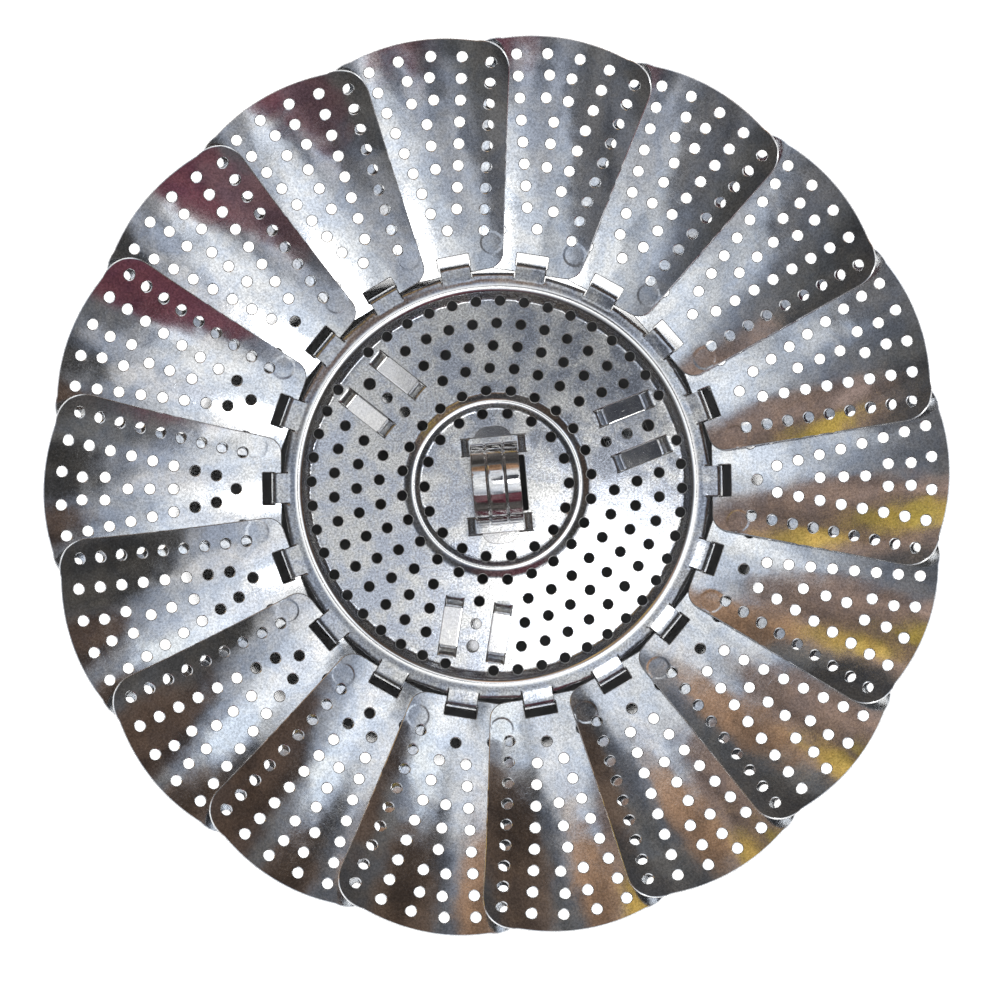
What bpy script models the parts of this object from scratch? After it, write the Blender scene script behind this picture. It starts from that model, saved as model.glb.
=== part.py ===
"""Folding steamer basket: a perforated base plate with a rolled rim, eighteen petals hooked
on the rim, a ribbed strap handle and three strap legs.

Metres, +Z up. The origin is on the basket's axis, on the surface that the feet stand on.
The petals are modelled open, as they rest on their stops, and fold up about their hooks.
"""

import math

import bmesh
import bpy
from mathutils import Matrix, Vector

MM = 0.001

# Stock and clearances
SHEET = 0.5 * MM
STRAP = 0.8 * MM
GAP = 0.3 * MM
JOIN = 0.5 * MM
OVERRUN = 3.0 * MM

# Base plate, whose heights are those of the middle of its sheet
PLATE_HEIGHT = 30.0 * MM
DISC_RADIUS = 59.0 * MM
RIM_WIDTH = 7.6 * MM
RIM_RISE = 2.8 * MM
BEAD_RADIUS = 26.3 * MM
BEAD_RISE = 1.1 * MM
BEAD_INNER_FLANK = 2.0 * MM
BEAD_OUTER_FLANK = 2.9 * MM

# The rim's section, as shares of its width and of its rise
RIM_SHARES = ((0.0, 0.0), (0.29, 0.8), (0.45, 1.0), (0.8, 0.86), (0.97, 0.45), (1.0, -0.25))
TAB_START_SHARES = (0.62, 0.86)
BEAD_TOP_SHARE = 0.3

# Drain holes of the disc, in rings that are in step with the legs
HOLE_RADIUS = 1.65 * MM
LARGE_HOLE_RADIUS = 1.9 * MM
HOLE_SIDES = 4
RINGS = 6
FIRST_RING_RADIUS = 22.8 * MM
RING_STEP = 7.12 * MM
FIRST_RING_HOLES = 18
HOLES_MORE_PER_RING = 6

# Petals and their hinges
PETALS = 18
PETAL_START = math.radians(1.0)
PETAL_LENGTH = 73.2 * MM
BAR_WIDTH = 2.0 * MM
ROOT_CLEARANCE = 0.9 * MM
ROOT_HALF_WIDTH = 15.4 * MM
TIP_HALF_WIDTH = 30.9 * MM
ROOT_CORNER_RADIUS = 4.0 * MM
TIP_CORNER_RADIUS = 11.0 * MM
TIP_ARC_RADIUS = 75.0 * MM
CUP_RADIUS = 75.0 * MM
ROOT_SLOPE = math.radians(8.0)
TIP_SLOPE = math.radians(26.8)
ROOT_ROLL = 0.09
TIP_ROLL = 0.105
SLOT_LENGTH = 4.0 * MM
SLOT_WIDTH = 10.2 * MM
TAB_WIDTH = 8.0 * MM
HOOK_BORE_RADIUS = 1.75 * MM
HOOK_END = math.radians(-125.0)
HOOK_STEPS = 5

# The petal's sheet is divided along and across its length at these shares
PETAL_COLUMN_SHARES = (-1.0, -0.85, -0.5, 0.0, 0.5, 0.85, 1.0)
PETAL_ROWS = 3

# Drain holes of a petal, as shares of its length and of its half width there
EDGE_ROW_SHARES = ((0.153, 0.64), (0.863, 0.8))
EDGE_ROW_HOLES = 5
INNER_ROW_SHARES = ((0.265, 0.215), (0.812, 0.46))
INNER_ROW_HOLES = 4
MIDDLE_HOLE_SHARES = (0.18, 0.549)
PAIR_SHARES = (0.836, 0.12)

# Lanced strips: bridges above the plate for the handle, loops below it for the legs
LANCED_WIDTH = 5.3 * MM
LANCED_SLOPE_RUN = 2.8 * MM
LANCED_SIDE_CUT = 0.2 * MM
BRIDGE_LENGTH = 20.6 * MM
BRIDGE_OFFSET = 12.5 * MM
LOOP_LENGTH = 18.8 * MM
LOOP_OFFSET = 7.66 * MM

# Straps: the handle and the legs
TONGUE_WIDTH = 12.2 * MM
STRAP_WIDTH = 14.7 * MM
STRAP_BEND_RADIUS = 0.9 * MM
TONGUE_END_LENGTH = 3.4 * MM
TONGUE_END_SHARES = ((0.0, 0.45), (0.25, 0.8), (0.65, 1.0))
HANDLE_ANGLE = math.radians(95.0)
HANDLE_RADIUS = 11.8 * MM
HANDLE_STEPS = 8
RIB_HEIGHT = 0.5 * MM
HALF_RIB_SHARES = ((0.26, 1.0), (0.35, 0.0), (0.44, 1.0), (1.0, 0.0))
WINDOW_MARGIN = 1.1 * MM
WINDOW_WEB = 0.85 * MM
LEGS = 3
LEG_START = math.radians(21.5)
LEG_RADIUS = 46.1 * MM
LEG_FLARE = math.radians(6.0)
FOOT_CORNER_RADIUS = 3.0 * MM
FLAT_SHARES = ((-1.0, 0.0), (1.0, 0.0))
ARC_STEPS = 2

# Sizes that follow from the ones above
PITCH = 2 * math.pi / PETALS
HINGE_RADIUS = DISC_RADIUS + RIM_WIDTH + SHEET / 2 + ROOT_CLEARANCE + BAR_WIDTH / 2
HOOK_RADIUS = HOOK_BORE_RADIUS + SHEET / 2
HINGE_HEIGHT = PLATE_HEIGHT + RIM_RISE * TAB_START_SHARES[1] - HOOK_RADIUS
TONGUE_RISE = SHEET / 2 + GAP + STRAP / 2
LANCED_RISE = TONGUE_RISE + STRAP / 2 + GAP + SHEET / 2
PETAL_BEND = (TIP_SLOPE - ROOT_SLOPE) / PETAL_LENGTH


def clear_scene():
    for obj in list(bpy.data.objects):
        bpy.data.objects.remove(obj, do_unlink=True)


def collection(name, hidden=False):
    made = bpy.data.collections.new(name)
    bpy.context.scene.collection.children.link(made)
    made.hide_render = hidden
    return made


def steel(name, colour, roughness):
    made = bpy.data.materials.new(name)
    made.use_nodes = True
    shader = made.node_tree.nodes["Principled BSDF"]
    shader.inputs["Base Color"].default_value = (*colour, 1.0)
    shader.inputs["Metallic"].default_value = 1.0
    shader.inputs["Roughness"].default_value = roughness
    return made


def add_object(name, mesh, home, material=None):
    obj = bpy.data.objects.new(name, mesh)
    home.objects.link(obj)
    if material:
        mesh.materials.clear()
        mesh.materials.append(material)
    return obj


def as_helper(obj):
    obj.hide_render = True
    obj.display_type = "WIRE"
    return obj


def solidify(obj, thickness):
    shell = obj.modifiers.new("sheet", "SOLIDIFY")
    shell.thickness = thickness
    shell.offset = 0
    shell.use_even_offset = True
    return obj


def boolean(obj, operation, other):
    step = obj.modifiers.new(f"{operation.lower()} {other.name}", "BOOLEAN")
    step.operation = operation
    step.solver = "EXACT"
    step.object = other
    return obj


def bake(obj, smooth_angle=math.radians(35)):
    """Replaces the object's mesh by its evaluated mesh, shaded smooth between its sharp edges."""
    bpy.context.view_layer.update()
    graph = bpy.context.evaluated_depsgraph_get()
    mesh = bpy.data.meshes.new_from_object(obj.evaluated_get(graph))
    obj.modifiers.clear()
    obj.data = mesh
    mesh.name = obj.name
    mesh.shade_smooth()
    mesh.set_sharp_from_angle(angle=smooth_angle)
    return obj


def joined_copies(name, mesh, places, home):
    """One helper object that holds a copy of the mesh at each place."""
    whole = bmesh.new()
    for place in places:
        first = len(whole.verts)
        whole.from_mesh(mesh)
        whole.verts.ensure_lookup_table()
        bmesh.ops.transform(whole, matrix=place, verts=whole.verts[first:])
    made = bpy.data.meshes.new(name)
    whole.to_mesh(made)
    whole.free()
    return as_helper(add_object(name, made, home))


def sheet_mesh(name, rows):
    """A grid of faces through rows of points."""
    grid = bmesh.new()
    bmesh.ops.create_grid(grid, x_segments=len(rows[0]) - 1, y_segments=len(rows) - 1, size=1)
    grid.verts.ensure_lookup_table()
    for i, row in enumerate(rows):
        for j, point in enumerate(row):
            grid.verts[i * len(row) + j].co = point
    made = bpy.data.meshes.new(name)
    grid.to_mesh(made)
    grid.free()
    return made


def ribbon_mesh(name, path, half_width, home):
    """A strip of sheet along a path of (x, z) points, as wide along Y as said."""
    rows = [[Vector((x, side * half_width, z)) for side in (-1, 1)] for x, z in path]
    return as_helper(bake(solidify(add_object(name, sheet_mesh(name, rows), home), SHEET))).data


def arc(centre, radius, start, end, steps):
    angles = [start + (end - start) * i / steps for i in range(steps + 1)]
    return [(centre[0] + radius * math.cos(a), centre[1] + radius * math.sin(a)) for a in angles]


def turned(angle, x=0, y=0, z=0, spin=0):
    """The place at (x, y) in a frame turned about the basket's axis, and spun about its own."""
    return Matrix.Rotation(angle, 4, "Z") @ Matrix.Translation((x, y, z)) @ Matrix.Rotation(spin, 4, "Z")


def prism(sides, radius, length, place):
    """A polygonal bar of the same area as the round one, centred at its place."""
    turn = 2 * math.pi / sides
    equal_area = radius * math.sqrt(turn / math.sin(turn))
    bar = bmesh.new()
    bmesh.ops.create_cone(
        bar, cap_ends=True, segments=sides, radius1=equal_area, radius2=equal_area, depth=length, matrix=place
    )
    return bar


def block(size, place):
    box = bmesh.new()
    bmesh.ops.create_cube(box, size=1, matrix=place @ Matrix.Diagonal((*size, 1)))
    return box


def cutter(name, solids, home):
    """One helper object made of several separate solids."""
    whole = bmesh.new()
    piece = bpy.data.meshes.new(name)
    for solid in solids:
        solid.to_mesh(piece)
        solid.free()
        whole.from_mesh(piece)
    whole.to_mesh(piece)
    whole.free()
    return as_helper(add_object(name, piece, home))


# Petals, in their own frame: the hinge axis is Y, X runs outwards and Z up


def half_width(along):
    return ROOT_HALF_WIDTH + (TIP_HALF_WIDTH - ROOT_HALF_WIDTH) * along / PETAL_LENGTH


def slope(along):
    return ROOT_SLOPE + PETAL_BEND * along


def petal_rise(along, across):
    """Height above the petal's middle line: cupped across, and rolled so that one side overlaps."""
    roll = ROOT_ROLL + (TIP_ROLL - ROOT_ROLL) * along / PETAL_LENGTH
    return across**2 / (2 * CUP_RADIUS) - roll * across


def petal_point(along, across, offset=0):
    """The point of the petal's surface at these distances from its hinge and its middle line."""
    lean = slope(along)
    x = (math.sin(lean) - math.sin(ROOT_SLOPE)) / PETAL_BEND
    z = (math.cos(ROOT_SLOPE) - math.cos(lean)) / PETAL_BEND
    rise = petal_rise(along, across) + offset
    return Vector((x - rise * math.sin(lean), across, z + rise * math.cos(lean)))


def petal_frame(along, across):
    """The place whose Z is square to the petal's surface."""
    step = SHEET
    lengthwise = petal_point(along + step, across) - petal_point(along - step, across)
    crosswise = petal_point(along, across + step) - petal_point(along, across - step)
    normal = lengthwise.cross(crosswise).normalized()
    lengthwise.normalize()
    turn = Matrix((lengthwise, normal.cross(lengthwise), normal)).transposed().to_4x4()
    return Matrix.Translation(petal_point(along, across)) @ turn


def corner_drop(across, widest, radius):
    """How far a rounded corner takes the end edge back."""
    into = max(0, abs(across) - (widest - radius))
    return radius - math.sqrt(max(0, radius**2 - into**2))


def petal_rows():
    rows = []
    for i in range(PETAL_ROWS + 1):
        row = []
        for share in PETAL_COLUMN_SHARES:
            root = half_width(-BAR_WIDTH / 2) * share
            tip = half_width(PETAL_LENGTH) * share
            start = corner_drop(root, half_width(-BAR_WIDTH / 2), ROOT_CORNER_RADIUS) - BAR_WIDTH / 2
            arc_end = min(abs(tip), TIP_HALF_WIDTH - TIP_CORNER_RADIUS)
            end = PETAL_LENGTH - arc_end**2 / (2 * TIP_ARC_RADIUS)
            end -= corner_drop(tip, TIP_HALF_WIDTH, TIP_CORNER_RADIUS)
            along = start + (end - start) * i / PETAL_ROWS
            row.append(petal_point(along, half_width(along) * share))
        rows.append(row)
    return rows


def mirrored_pair(length_share, width_share):
    along = PETAL_LENGTH * length_share
    across = half_width(along) * width_share
    return [(along, across), (along, -across)]


def row_places(start, end, holes):
    for i in range(holes):
        share = i / (holes - 1)
        yield from mirrored_pair(*(a + (b - a) * share for a, b in zip(start, end)))


def petal_hole_places():
    """Every second hole of the real petal's rows."""
    yield from row_places(*EDGE_ROW_SHARES, EDGE_ROW_HOLES)
    yield from row_places(*INNER_ROW_SHARES, INNER_ROW_HOLES)
    yield from mirrored_pair(*PAIR_SHARES)
    for share in MIDDLE_HOLE_SHARES:
        yield PETAL_LENGTH * share, 0


def petal_mesh(helpers, material):
    petal = add_object("petal", sheet_mesh("petal", petal_rows()), helpers, material)
    solidify(petal, SHEET)
    depth = 2 * OVERRUN
    cuts = [prism(HOLE_SIDES, HOLE_RADIUS, depth, petal_frame(*place)) for place in petal_hole_places()]
    slot_middle = BAR_WIDTH / 2 + SLOT_LENGTH / 2
    cuts.append(block((SLOT_LENGTH, SLOT_WIDTH, depth), petal_frame(slot_middle, 0)))
    boolean(petal, "DIFFERENCE", cutter("petal_cuts", cuts, helpers))
    return as_helper(bake(petal)).data


def add_petals(home, helpers, material):
    mesh = petal_mesh(helpers, material)
    for i in range(PETALS):
        petal = add_object(f"petal_{i + 1:02d}", mesh, home)
        petal.matrix_world = turned(PETAL_START + PITCH * i, HINGE_RADIUS, 0, HINGE_HEIGHT)


# Base plate


def plate_profile():
    bead_half_top = BEAD_RISE * BEAD_TOP_SHARE
    points = [
        (0, 0),
        (BEAD_RADIUS - BEAD_INNER_FLANK, 0),
        (BEAD_RADIUS - bead_half_top, BEAD_RISE),
        (BEAD_RADIUS + bead_half_top, BEAD_RISE),
        (BEAD_RADIUS + BEAD_OUTER_FLANK, 0),
    ]
    points += [(DISC_RADIUS + RIM_WIDTH * w, RIM_RISE * h) for w, h in RIM_SHARES]
    return points


def turned_plate(home, material):
    profile = bmesh.new()
    dots = [profile.verts.new((r, 0, z)) for r, z in plate_profile()]
    for dot, following in zip(dots, dots[1:]):
        profile.edges.new((dot, following))
    mesh = bpy.data.meshes.new("base_plate")
    profile.to_mesh(mesh)
    profile.free()
    plate = add_object("base_plate", mesh, home, material)
    plate.matrix_world = turned(PETAL_START + PITCH / 4, z=PLATE_HEIGHT)
    screw = plate.modifiers.new("turned", "SCREW")
    screw.steps = 2 * PETALS
    screw.render_steps = screw.steps
    screw.use_merge_vertices = True
    screw.merge_threshold = 0.00001
    screw.use_smooth_shade = True
    return solidify(plate, SHEET)


def on_a_loop(radius, angle):
    """Whether a hole at this angle from a leg's middle line would run into one of its loops."""
    across = abs(abs(radius * math.sin(angle)) - LOOP_OFFSET)
    along = abs(radius * math.cos(angle) - LEG_RADIUS)
    beside = LANCED_WIDTH / 2 + HOLE_RADIUS
    return across < beside and along < LOOP_LENGTH / 2 + HOLE_RADIUS / 2


def disc_holes():
    sector = 2 * math.pi / LEGS
    for ring in range(RINGS):
        radius = FIRST_RING_RADIUS + RING_STEP * ring
        count = FIRST_RING_HOLES + HOLES_MORE_PER_RING * ring
        for i in range(count):
            angle = 2 * math.pi * i / count
            from_leg = (angle + sector / 2) % sector - sector / 2
            on_middle = abs(from_leg) < math.pi / count
            if on_a_loop(radius, from_leg) or (on_middle and ring == RINGS - 1):
                continue
            large = on_middle and ring == RINGS - 2
            place = turned(LEG_START + angle, radius, 0, PLATE_HEIGHT)
            yield prism(HOLE_SIDES, LARGE_HOLE_RADIUS if large else HOLE_RADIUS, 2 * OVERRUN, place)


def bridge_places():
    quarter = math.pi / 2
    return [turned(HANDLE_ANGLE, side * BRIDGE_OFFSET, 0, PLATE_HEIGHT, quarter) for side in (-1, 1)]


def loop_places():
    angles = [LEG_START + 2 * math.pi * i / LEGS for i in range(LEGS)]
    return [turned(a, LEG_RADIUS, side * LOOP_OFFSET, PLATE_HEIGHT) for a in angles for side in (-1, 1)]


def lanced_cuts():
    width = LANCED_WIDTH + 2 * LANCED_SIDE_CUT
    for place in bridge_places():
        yield block((BRIDGE_LENGTH, width, OVERRUN), place)
    for place in loop_places():
        yield block((LOOP_LENGTH, width, OVERRUN), place)


def window_cut():
    """The window under the handle, which leaves a web in front of each bridge's cut."""
    length = 2 * (BRIDGE_OFFSET - LANCED_WIDTH / 2 - LANCED_SIDE_CUT - WINDOW_WEB)
    width = STRAP_WIDTH + 2 * WINDOW_MARGIN
    return block((length, width, 2 * OVERRUN), turned(HANDLE_ANGLE, z=PLATE_HEIGHT))


def lanced_path(length, rise):
    half = length / 2
    top = half - LANCED_SLOPE_RUN
    return [(-half - JOIN, 0), (-top, rise), (top, rise), (half + JOIN, 0)]


def hook_path():
    """From inside the rim's sheet, out over the petal's bar, round it and back under it."""
    start = (DISC_RADIUS + RIM_WIDTH * TAB_START_SHARES[0] - HINGE_RADIUS, HOOK_RADIUS)
    return [start] + arc((0, 0), HOOK_RADIUS, math.pi / 2, HOOK_END, HOOK_STEPS)


def add_base_plate(home, helpers, material):
    plate = turned_plate(home, material)
    boolean(plate, "DIFFERENCE", cutter("drain_hole_cuts", disc_holes(), helpers))
    boolean(plate, "DIFFERENCE", cutter("lanced_cuts", lanced_cuts(), helpers))
    boolean(plate, "DIFFERENCE", cutter("window_cut", [window_cut()], helpers))
    half_strip = LANCED_WIDTH / 2
    bridge = ribbon_mesh("bridge", lanced_path(BRIDGE_LENGTH, LANCED_RISE), half_strip, helpers)
    boolean(plate, "UNION", joined_copies("bridges", bridge, bridge_places(), helpers))
    loop = ribbon_mesh("loop", lanced_path(LOOP_LENGTH, -LANCED_RISE), half_strip, helpers)
    boolean(plate, "UNION", joined_copies("loops", loop, loop_places(), helpers))
    hook = ribbon_mesh("hook", hook_path(), TAB_WIDTH / 2, helpers)
    places = [turned(PETAL_START + PITCH * i, HINGE_RADIUS, 0, HINGE_HEIGHT) for i in range(PETALS)]
    boolean(plate, "UNION", joined_copies("hooks", hook, places, helpers))
    bake(plate)


# Straps, in their own frame: the path runs along X and Z, and the width along Y


def tongue_rows(end, bend_start):
    """Points and half widths from a tongue's rounded end to where the strap bends."""
    run = [(end + TONGUE_END_LENGTH * along, share) for along, share in TONGUE_END_SHARES]
    rows = [((x, TONGUE_RISE), TONGUE_WIDTH / 2 * share) for x, share in run]
    return rows + [((bend_start, TONGUE_RISE), TONGUE_WIDTH / 2)]


def strap_mesh(name, rows, section, helpers, material):
    """A strap through rows of (point, half width), mirrored about X = 0."""
    rows = rows + [((-x, z), half) for (x, z), half in reversed(rows) if x]
    grid = []
    for i, ((x, z), half) in enumerate(rows):
        before, after = rows[max(i - 1, 0)][0], rows[min(i + 1, len(rows) - 1)][0]
        run = Vector((after[0] - before[0], 0, after[1] - before[1])).normalized()
        out = Vector((-run.z, 0, run.x))
        ribbed = RIB_HEIGHT if half > TONGUE_WIDTH / 2 else 0
        grid.append([Vector((x, share * half, z)) + out * ribbed * rise for share, rise in section])
    strap = add_object(name, sheet_mesh(name, grid), helpers, material)
    return as_helper(bake(solidify(strap, STRAP))).data


def handle_rows():
    """A tongue, a tight bend and half of a ring that the two bends run into smoothly."""
    bend_x = BRIDGE_OFFSET - LANCED_WIDTH / 2 - GAP
    lean = math.acos(bend_x / (HANDLE_RADIUS + STRAP_BEND_RADIUS))
    bend_centre = (-bend_x, TONGUE_RISE + STRAP_BEND_RADIUS)
    ring_centre = (0, bend_centre[1] + (HANDLE_RADIUS + STRAP_BEND_RADIUS) * math.sin(lean))
    bend = arc(bend_centre, STRAP_BEND_RADIUS, -math.pi / 2, lean, ARC_STEPS)[1:]
    ring = arc(ring_centre, HANDLE_RADIUS, math.pi + lean, math.pi / 2, HANDLE_STEPS)[1:-1]
    top = [(0, ring_centre[1] + HANDLE_RADIUS)]
    end = -BRIDGE_OFFSET - LANCED_WIDTH / 2 - TONGUE_END_LENGTH
    return tongue_rows(end, -bend_x) + [(point, STRAP_WIDTH / 2) for point in bend + ring + top]


def leg_rows():
    """A tongue, a bend down, a flared arm and a rounded corner to the flat foot, with Z down."""
    bend_x = LOOP_OFFSET - LANCED_WIDTH / 2 - GAP
    bend_centre = (-bend_x, TONGUE_RISE + STRAP_BEND_RADIUS)
    bend = arc(bend_centre, STRAP_BEND_RADIUS, -math.pi / 2, LEG_FLARE, ARC_STEPS)[1:]
    foot = PLATE_HEIGHT - STRAP / 2
    corner_z = foot - FOOT_CORNER_RADIUS
    arm_x = bend[-1][0] - (corner_z - bend[-1][1]) * math.tan(LEG_FLARE)
    corner = (arm_x + FOOT_CORNER_RADIUS / math.cos(LEG_FLARE), corner_z)
    heel = arc(corner, FOOT_CORNER_RADIUS, math.pi + LEG_FLARE, math.pi / 2, ARC_STEPS)
    end = -LOOP_OFFSET - LANCED_WIDTH / 2 - TONGUE_END_LENGTH
    rows = tongue_rows(end, -bend_x) + [(point, STRAP_WIDTH / 2) for point in bend + heel]
    return [((x, -z), half) for (x, z), half in rows]


def add_handle(home, helpers, material):
    section = [(-across, rise) for across, rise in reversed(HALF_RIB_SHARES)] + list(HALF_RIB_SHARES)
    mesh = strap_mesh("ribbed_strap", handle_rows(), section, helpers, material)
    handle = add_object("carry_handle", mesh, home)
    handle.matrix_world = turned(HANDLE_ANGLE, z=PLATE_HEIGHT)


def add_legs(home, helpers, material):
    mesh = strap_mesh("leg_strap", leg_rows(), FLAT_SHARES, helpers, material)
    for i in range(LEGS):
        leg = add_object(f"leg_{i + 1}", mesh, home)
        angle = LEG_START + 2 * math.pi * i / LEGS
        leg.matrix_world = turned(angle, LEG_RADIUS, 0, PLATE_HEIGHT, math.pi / 2)


def main():
    clear_scene()
    basket = collection("steamer_basket")
    helpers = collection("helpers", hidden=True)
    satin = steel("satin_steel", (0.62, 0.63, 0.65), 0.32)
    bright = steel("bright_steel", (0.66, 0.66, 0.67), 0.18)
    polished = steel("polished_steel", (0.6, 0.59, 0.58), 0.12)
    add_base_plate(basket, helpers, satin)
    add_petals(basket, helpers, bright)
    add_handle(basket, helpers, polished)
    add_legs(basket, helpers, polished)


main()
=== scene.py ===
import math
from bisect import bisect_right

import bpy
from mathutils import Matrix, Vector, kdtree
from mathutils.geometry import delaunay_2d_cdt


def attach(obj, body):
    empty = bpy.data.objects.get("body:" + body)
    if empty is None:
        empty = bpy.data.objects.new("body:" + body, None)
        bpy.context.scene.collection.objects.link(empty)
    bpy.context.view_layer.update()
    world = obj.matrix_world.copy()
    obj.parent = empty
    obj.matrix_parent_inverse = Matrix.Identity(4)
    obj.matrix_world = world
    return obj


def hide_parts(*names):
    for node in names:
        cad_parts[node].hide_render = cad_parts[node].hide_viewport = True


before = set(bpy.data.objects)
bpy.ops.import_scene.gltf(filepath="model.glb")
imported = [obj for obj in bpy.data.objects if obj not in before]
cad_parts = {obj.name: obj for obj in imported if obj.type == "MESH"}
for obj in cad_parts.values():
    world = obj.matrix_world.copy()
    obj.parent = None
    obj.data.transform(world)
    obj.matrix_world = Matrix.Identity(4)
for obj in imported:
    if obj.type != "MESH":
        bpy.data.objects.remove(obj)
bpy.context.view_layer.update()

MM = 0.001

# Sizes that the solids have too
SHEET = 0.5 * MM
STRAP = 0.8 * MM
GAP = 0.3 * MM
PLATE_HEIGHT = 30.0 * MM
DISC_RADIUS = 59.0 * MM
RIM_WIDTH = 7.6 * MM
RIM_RISE = 2.8 * MM
BEAD_RADIUS = 26.3 * MM
BEAD_RISE = 1.1 * MM
BEAD_INNER_FLANK = 2.0 * MM
BEAD_OUTER_FLANK = 2.9 * MM
HOLE_RADIUS = 1.65 * MM
LARGE_HOLE_RADIUS = 1.9 * MM
RINGS = 6
FIRST_RING_RADIUS = 22.8 * MM
RING_STEP = 7.12 * MM
FIRST_RING_HOLES = 18
HOLES_MORE_PER_RING = 6
PETALS = 18
PETAL_START = math.radians(1.0)
PITCH = 2 * math.pi / PETALS
PETAL_LENGTH = 73.2 * MM
BAR_WIDTH = 2.0 * MM
ROOT_HALF_WIDTH = 15.4 * MM
TIP_HALF_WIDTH = 30.9 * MM
ROOT_CORNER_RADIUS = 4.0 * MM
TIP_CORNER_RADIUS = 11.0 * MM
TIP_ARC_RADIUS = 75.0 * MM
CUP_RADIUS = 75.0 * MM
ROOT_SLOPE = math.radians(8.0)
TIP_SLOPE = math.radians(26.8)
PETAL_BEND = (TIP_SLOPE - ROOT_SLOPE) / PETAL_LENGTH
ROOT_ROLL = 0.09
TIP_ROLL = 0.105
SLOT_LENGTH = 4.0 * MM
SLOT_WIDTH = 10.2 * MM
HINGE_RADIUS = 68.75 * MM
HOOK_RADIUS = 2.0 * MM
HOOK_END = math.radians(-125.0)
TAB_RISE = 0.86 * RIM_RISE
HINGE_HEIGHT = PLATE_HEIGHT + TAB_RISE - HOOK_RADIUS
LANCED_WIDTH = 5.3 * MM
LANCED_SLOPE_RUN = 2.8 * MM
LANCED_SIDE_CUT = 0.2 * MM
BRIDGE_LENGTH = 20.6 * MM
BRIDGE_OFFSET = 12.5 * MM
LOOP_LENGTH = 18.8 * MM
LOOP_OFFSET = 7.66 * MM
TONGUE_WIDTH = 12.2 * MM
STRAP_WIDTH = 14.7 * MM
STRAP_BEND_RADIUS = 0.9 * MM
TONGUE_END_LENGTH = 3.4 * MM
TONGUE_RISE = SHEET / 2 + GAP + STRAP / 2
LANCED_RISE = TONGUE_RISE + STRAP / 2 + GAP + SHEET / 2
HANDLE_ANGLE = math.radians(95.0)
HANDLE_RADIUS = 11.8 * MM
RIB_HEIGHT = 0.5 * MM
WINDOW_MARGIN = 1.1 * MM
WINDOW_WEB = 0.85 * MM
LEGS = 3
LEG_START = math.radians(21.5)
LEG_RADIUS = 46.1 * MM
LEG_FLARE = math.radians(6.0)
FOOT_CORNER_RADIUS = 3.0 * MM

# Sizes that follow the photo more closely than the solids, whose tabs are narrower and window is centred
TAB_WIDTH = 9.4 * MM
WINDOW_SHIFT = 0.9 * MM

# A petal's drain holes: (how far out, how far across) of each row's two ends, and lone holes
EDGE_ROW = ((11.2 * MM, 11.4 * MM), (63.2 * MM, 23.0 * MM), 9)
INNER_ROW = ((19.4 * MM, 4.2 * MM), (66.1 * MM, 14.6 * MM), 8)
MIDDLE_HOLES = (13.2 * MM, 32.8 * MM, 40.2 * MM, 47.0 * MM)
PAIRED_HOLES = ((54.1 * MM, 3.5 * MM), (61.2 * MM, 3.5 * MM), (67.6 * MM, 5.1 * MM))

# The joggle pressed into a petal's upper root corner, where it passes over its neighbour
JOGGLE_PLACE = (7.0 * MM, -13.0 * MM)
JOGGLE_RADIUS = 3.1 * MM
JOGGLE_FLANK = 0.6 * MM
JOGGLE_RISE = 0.07 * MM

# Fineness of the meshes: a sheet's bevel is EDGE wide and EDGE_SLOPE of that deep, on both faces
HOLE_SIDES = 18
EDGE = 0.1 * MM
EDGE_SLOPE = 0.62
STEP = 0.02 * MM
MITRE_LIMIT = 1.5
CORNER_CUT = 0.25
INSIDE_TRIANGLES = 1
CUT_TOLERANCE = 1e-5
SHARP_ANGLE = math.radians(28)


# Sheets with holes


def ring_points(centre, radius, sides, turn=0.0):
    angles = [turn + 2 * math.pi * i / sides for i in range(sides)]
    return [(centre[0] + radius * math.cos(a), centre[1] + radius * math.sin(a)) for a in angles]


def divided(points, longest):
    """The closed loop with its long sides cut into equal parts."""
    out = []
    for a, b in zip(points, points[1:] + points[:1]):
        parts = max(1, math.ceil(math.dist(a, b) / longest))
        out += [(a[0] + (b[0] - a[0]) * i / parts, a[1] + (b[1] - a[1]) * i / parts) for i in range(parts)]
    return out


def rounded_box(x_half, y_half, radius, place, steps):
    """A box with round corners in a 2-D place, which turns (x, y) into a point of the domain."""
    out = []
    for sx, sy, start in ((1, 1, 0.0), (-1, 1, 0.5), (-1, -1, 1.0), (1, -1, 1.5)):
        for i in range(steps + 1):
            a = math.pi * (start + 0.5 * i / steps)
            x = sx * (x_half - radius) + radius * math.cos(a)
            y = sy * (y_half - radius) + radius * math.sin(a)
            out.append(place(x, y))
    return out


def signed_area(loop):
    return sum(a[0] * b[1] - b[0] * a[1] for a, b in zip(loop, loop[1:] + loop[:1])) / 2


def wound(loop, anticlockwise):
    return loop if (signed_area(loop) > 0) == anticlockwise else loop[::-1]


def shifted(loop, distance):
    """The loop moved to its left, where the metal is."""
    out = []
    for before, here, after in zip(loop[-1:] + loop[:-1], loop, loop[1:] + loop[:1]):
        ax, ay = here[0] - before[0], here[1] - before[1]
        bx, by = after[0] - here[0], after[1] - here[1]
        la, lb = math.hypot(ax, ay), math.hypot(bx, by)
        nx, ny = -(ay / la + by / lb), ax / la + bx / lb
        size = math.hypot(nx, ny) or 1.0
        stretch = min(MITRE_LIMIT, 2 / size) * distance / size
        out.append((here[0] + nx * stretch, here[1] + ny * stretch))
    return out


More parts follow.
